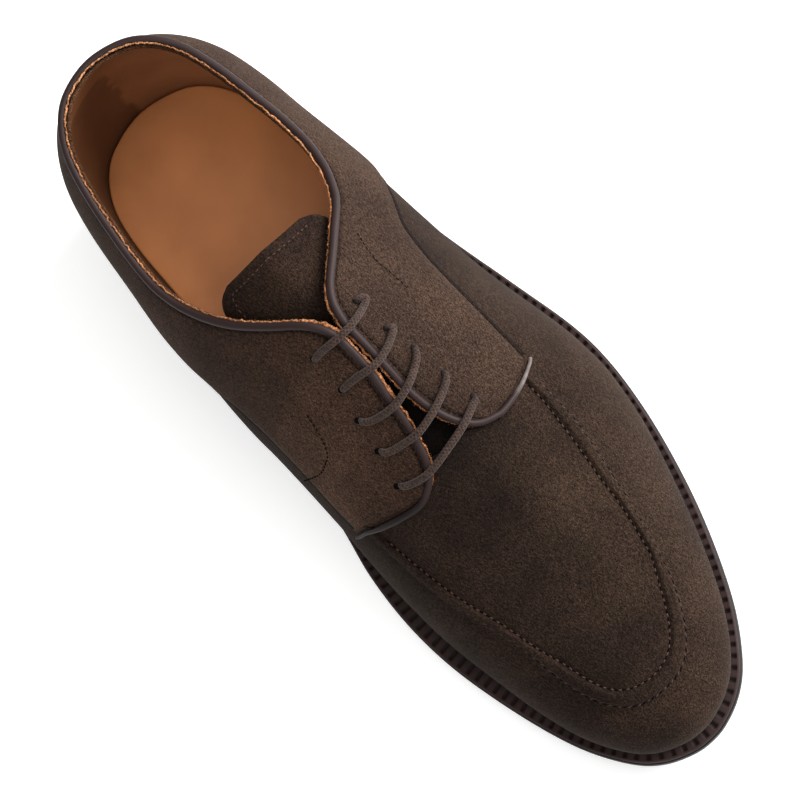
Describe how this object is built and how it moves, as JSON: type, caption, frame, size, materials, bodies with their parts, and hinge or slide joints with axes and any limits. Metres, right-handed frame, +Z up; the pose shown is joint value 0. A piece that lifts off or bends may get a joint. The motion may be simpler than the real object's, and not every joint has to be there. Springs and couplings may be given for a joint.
{
  "type": "blucher shoe",
  "caption": "Low-cut open-laced suede shoe for the left foot, with a raised apron seam, bound facings, a notched welt and a stacked heel.",
  "frame": {"origin": "middle of the bounding box, on the floor", "axes": "+Z up, -Y towards the toe, +X towards the outer (lateral) side of the left foot"},
  "size_m": [0.1116, 0.2992, 0.1066],
  "materials": {
    "suede": "napped suede",
    "binding": "smooth satin",
    "insole": "smooth satin",
    "welt": "satin",
    "sole": "satin",
    "rubber": "matt",
    "lace": "waxed braid"
  },
  "bodies": {
    "root": {"outsole": "sole", "heel": "sole", "heel_top_piece": "rubber", "welt": "welt", "insole": "insole", "upper": "suede", "quarter_lateral": "suede", "quarter_medial": "suede", "binding": "binding", "tongue": "suede", "lace_bar_1": "lace", "lace_bar_2": "lace", "lace_bar_3": "lace", "lace_bar_4": "lace", "lace_bar_5": "lace"}
  },
  "joints": []
}
